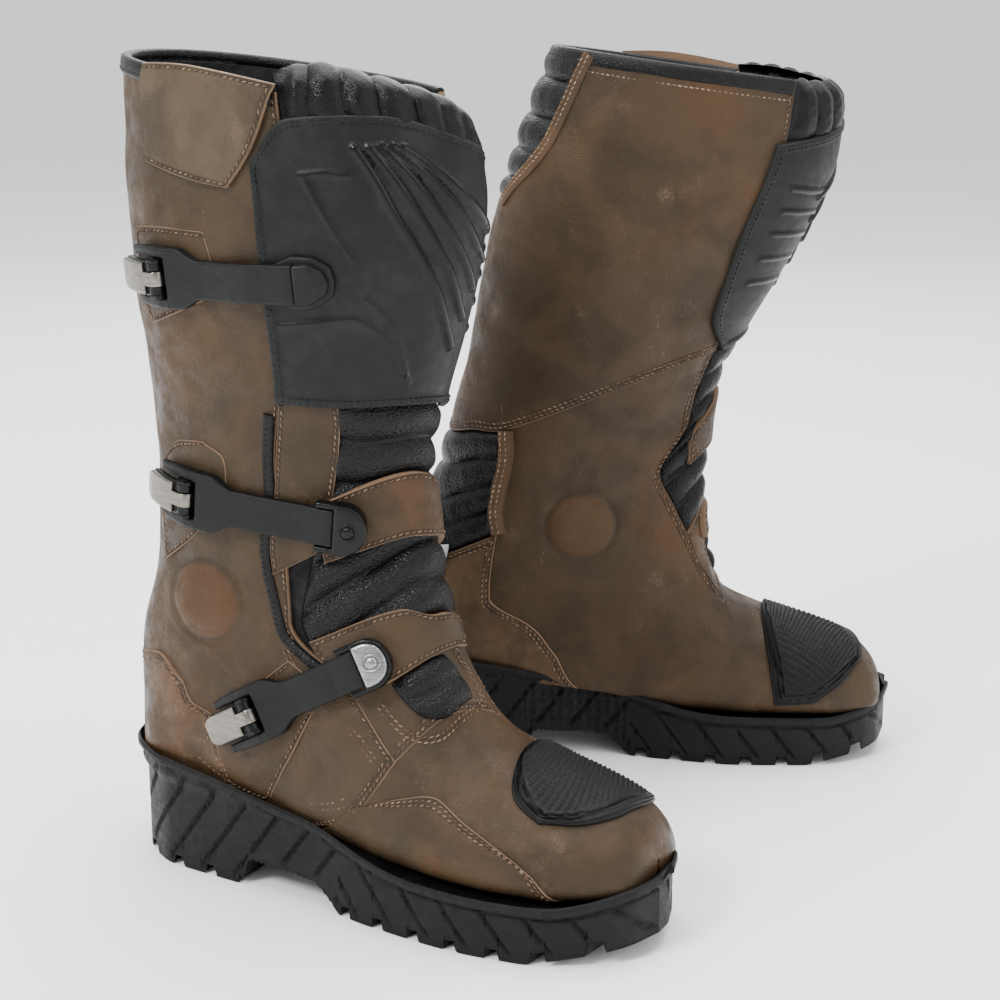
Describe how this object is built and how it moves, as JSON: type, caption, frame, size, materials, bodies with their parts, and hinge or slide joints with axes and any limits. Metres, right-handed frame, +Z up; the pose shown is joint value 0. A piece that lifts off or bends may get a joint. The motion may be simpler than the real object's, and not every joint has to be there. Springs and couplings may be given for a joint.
{
  "type": "buckled riding boots",
  "caption": "Pair of knee-high leather riding boots with lugged soles, a moulded shin plate, bellows panels and lever buckles.",
  "frame": {"origin": "centre of the pair's bounding box, on the ground under the soles", "axes": "+Z up the legs; the toes point along +X, each turned outwards; the right boot stands on the -Y side"},
  "size_m": [0.3844, 0.3958, 0.4294],
  "materials": {
    "brown_leather": "waxed pull-up leather with scuffs",
    "black_leather": "pebbled, satin",
    "collar_cloth": "ruched coated fabric, semi-gloss",
    "plate_plastic": "moulded, matt with gloss ribs",
    "pad_rubber": "moulded, matt",
    "sole_rubber": "lugged, matt",
    "strap_plastic": "satin",
    "buckle_plastic": "satin",
    "lever_steel": "brushed, bright edges",
    "lining_cloth": "knitted mesh, matt",
    "insole_board": "fibre board",
    "shank_steel": "plain"
  },
  "bodies": {
    "right_boot": {"right_outsole": "sole_rubber", "right_insole_board": "insole_board", "right_shank": "shank_steel", "right_lining": "lining_cloth", "right_footbed": "lining_cloth", "right_vamp": "brown_leather", "right_quarter_inner": "brown_leather", "right_side_outer": "brown_leather", "right_shaft_inner": "brown_leather", "right_calf_bellows": "black_leather", "right_ankle_bellows_rear": "black_leather", "right_heel_panel": "brown_leather", "right_ankle_bellows_front": "black_leather", "right_gaiter": "collar_cloth", "right_toe_pad": "pad_rubber", "right_ankle_strap_leather": "brown_leather", "right_instep_strap_leather": "brown_leather", "right_upper_base": "buckle_plastic", "right_middle_base": "buckle_plastic", "right_middle_receiver": "buckle_plastic", "right_lower_base": "buckle_plastic", "right_lower_receiver": "buckle_plastic"},
    "right_shin_flap": {"right_shin_plate": "plate_plastic"},
    "right_top_flap": {"right_top_flap": "brown_leather"},
    "right_upper_lever": {"right_upper_lever": "lever_steel"},
    "right_upper_strap": {"right_upper_strap": "strap_plastic"},
    "right_middle_lever": {"right_middle_lever": "lever_steel"},
    "right_middle_strap": {"right_middle_strap": "strap_plastic"},
    "right_lower_lever": {"right_lower_lever": "lever_steel"},
    "right_lower_strap": {"right_lower_strap": "strap_plastic"},
    "left_boot": {"left_outsole": "sole_rubber", "left_insole_board": "insole_board", "left_shank": "shank_steel", "left_lining": "lining_cloth", "left_footbed": "lining_cloth", "left_vamp": "brown_leather", "left_quarter_inner": "brown_leather", "left_side_outer": "brown_leather", "left_shaft_inner": "brown_leather", "left_calf_bellows": "black_leather", "left_ankle_bellows_rear": "black_leather", "left_heel_panel": "brown_leather", "left_ankle_bellows_front": "black_leather", "left_gaiter": "collar_cloth", "left_toe_pad": "pad_rubber", "left_ankle_strap_leather": "brown_leather", "left_instep_strap_leather": "brown_leather", "left_upper_base": "buckle_plastic", "left_middle_base": "buckle_plastic", "left_middle_receiver": "buckle_plastic", "left_lower_base": "buckle_plastic", "left_lower_receiver": "buckle_plastic"},
    "left_shin_flap": {"left_shin_plate": "plate_plastic"},
    "left_top_flap": {"left_top_flap": "brown_leather"},
    "left_upper_lever": {"left_upper_lever": "lever_steel"},
    "left_upper_strap": {"left_upper_strap": "strap_plastic"},
    "left_middle_lever": {"left_middle_lever": "lever_steel"},
    "left_middle_strap": {"left_middle_strap": "strap_plastic"},
    "left_lower_lever": {"left_lower_lever": "lever_steel"},
    "left_lower_strap": {"left_lower_strap": "strap_plastic"}
  },
  "joints": [
    {"name": "left_boot_lift", "type": "slide", "parent": "right_boot", "child": "left_boot", "axis": [0, 0, 1], "range_m": [0, 0.45]},
    {"name": "right_shin_flap_hinge", "type": "hinge", "parent": "right_boot", "child": "right_shin_flap", "pos_m": [-0.03047, -0.06894, 0.37427], "axis": [0.0742, 0.0892, 0.9932], "range_deg": [0, 60]},
    {"name": "right_top_flap_hinge", "type": "hinge", "parent": "right_shin_flap", "child": "right_top_flap", "pos_m": [-0.08417, -0.18135, 0.38908], "axis": [0.5788, -0.0592, 0.8133], "range_deg": [0, 80]},
    {"name": "right_upper_lever_hinge", "type": "hinge", "parent": "right_boot", "child": "right_upper_lever", "pos_m": [-0.14617, -0.16563, 0.32288], "axis": [-0.0532, -0.0981, 0.9938], "range_deg": [0, 110]},
    {"name": "right_upper_strap_hinge", "type": "hinge", "parent": "right_shin_flap", "child": "right_upper_strap", "pos_m": [-0.06577, -0.18834, 0.32495], "axis": [-0.0532, -0.0981, 0.9938], "range_deg": [0, 100]},
    {"name": "right_middle_lever_hinge", "type": "hinge", "parent": "right_boot", "child": "right_middle_lever", "pos_m": [-0.13927, -0.15844, 0.21131], "axis": [0.0983, -0.0586, 0.9934], "range_deg": [0, 110]},
    {"name": "right_middle_strap_hinge", "type": "hinge", "parent": "right_boot", "child": "right_middle_strap", "pos_m": [-0.05689, -0.16638, 0.20269], "axis": [0.0983, -0.0586, 0.9934], "range_deg": [0, 100]},
    {"name": "right_lower_lever_hinge", "type": "hinge", "parent": "right_boot", "child": "right_lower_lever", "pos_m": [-0.10697, -0.16237, 0.09942], "axis": [-0.4555, 0.17, 0.8739], "range_deg": [0, 110]},
    {"name": "right_lower_strap_hinge", "type": "hinge", "parent": "right_boot", "child": "right_lower_strap", "pos_m": [-0.04344, -0.1712, 0.13426], "axis": [-0.4555, 0.17, 0.8739], "range_deg": [0, 100]},
    {"name": "left_shin_flap_hinge", "type": "hinge", "parent": "left_boot", "child": "left_shin_flap", "pos_m": [0.11474, 0.07678, 0.37394], "axis": [-0.3478, 0.0209, -0.9373], "range_deg": [0, 60]},
    {"name": "left_top_flap_hinge", "type": "hinge", "parent": "left_shin_flap", "child": "left_top_flap", "pos_m": [0.06584, 0.19028, 0.38893], "axis": [-0.7161, -0.1015, -0.6906], "range_deg": [0, 80]},
    {"name": "left_upper_lever_hinge", "type": "hinge", "parent": "left_boot", "child": "left_upper_lever", "pos_m": [-0.01653, 0.17124, 0.32276], "axis": [0.0526, -0.0964, -0.994], "range_deg": [0, 110]},
    {"name": "left_upper_strap_hinge", "type": "hinge", "parent": "left_shin_flap", "child": "left_upper_strap", "pos_m": [0.06424, 0.19394, 0.32483], "axis": [0.0526, -0.0964, -0.994], "range_deg": [0, 100]},
    {"name": "left_middle_lever_hinge", "type": "hinge", "parent": "left_boot", "child": "left_middle_lever", "pos_m": [-0.0395, 0.15552, 0.21109], "axis": [-0.0995, -0.0852, -0.9914], "range_deg": [0, 110]},
    {"name": "left_middle_strap_hinge", "type": "hinge", "parent": "left_boot", "child": "left_middle_strap", "pos_m": [0.04118, 0.16352, 0.2023], "axis": [-0.0995, -0.0852, -0.9914], "range_deg": [0, 100]},
    {"name": "left_lower_lever_hinge", "type": "hinge", "parent": "left_boot", "child": "left_lower_lever", "pos_m": [-0.02582, 0.15532, 0.09932], "axis": [0.4421, 0.1549, -0.8835], "range_deg": [0, 110]},
    {"name": "left_lower_strap_hinge", "type": "hinge", "parent": "left_boot", "child": "left_lower_strap", "pos_m": [0.04037, 0.16479, 0.1341], "axis": [0.4421, 0.1549, -0.8835], "range_deg": [0, 100]}
  ]
}
